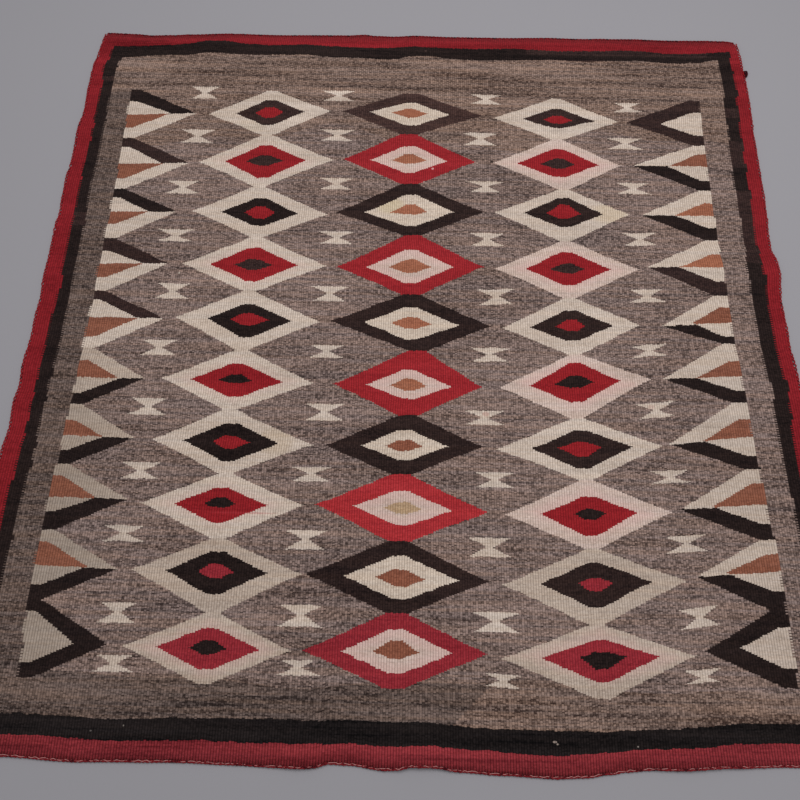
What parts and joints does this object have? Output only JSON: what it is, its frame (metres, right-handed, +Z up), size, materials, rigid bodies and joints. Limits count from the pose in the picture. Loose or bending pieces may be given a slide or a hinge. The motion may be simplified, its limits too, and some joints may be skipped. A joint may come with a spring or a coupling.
{
  "type": "flat-woven rug",
  "caption": "Hand-woven flat wool rug lying flat, with diamond rows on a heathered field, dark and red borders and twined edge cords.",
  "frame": {"origin": "under the middle of the rug's bounding box, on the surface it lies on", "axes": "+Z up through the thickness, +Y along the warps away from the near end, +X across the rug to the right"},
  "size_m": [1.3948, 1.454, 0.0076],
  "materials": {
    "woven_wool": "weft-faced wool tapestry weave, matte, in red, black, cream, rust and heathered grey-brown",
    "maroon_cord_yarn": "two-ply twined wool cord, maroon, matte",
    "pale_cord_yarn": "two-ply twined wool cord, worn red and pale pink, matte"
  },
  "bodies": {
    "root": {"rug_cloth": "woven_wool", "side_cord_left": "maroon_cord_yarn", "side_cord_right": "maroon_cord_yarn", "end_cord_near": "pale_cord_yarn", "end_cord_far": "maroon_cord_yarn", "yarn_end": "maroon_cord_yarn"}
  },
  "joints": []
}
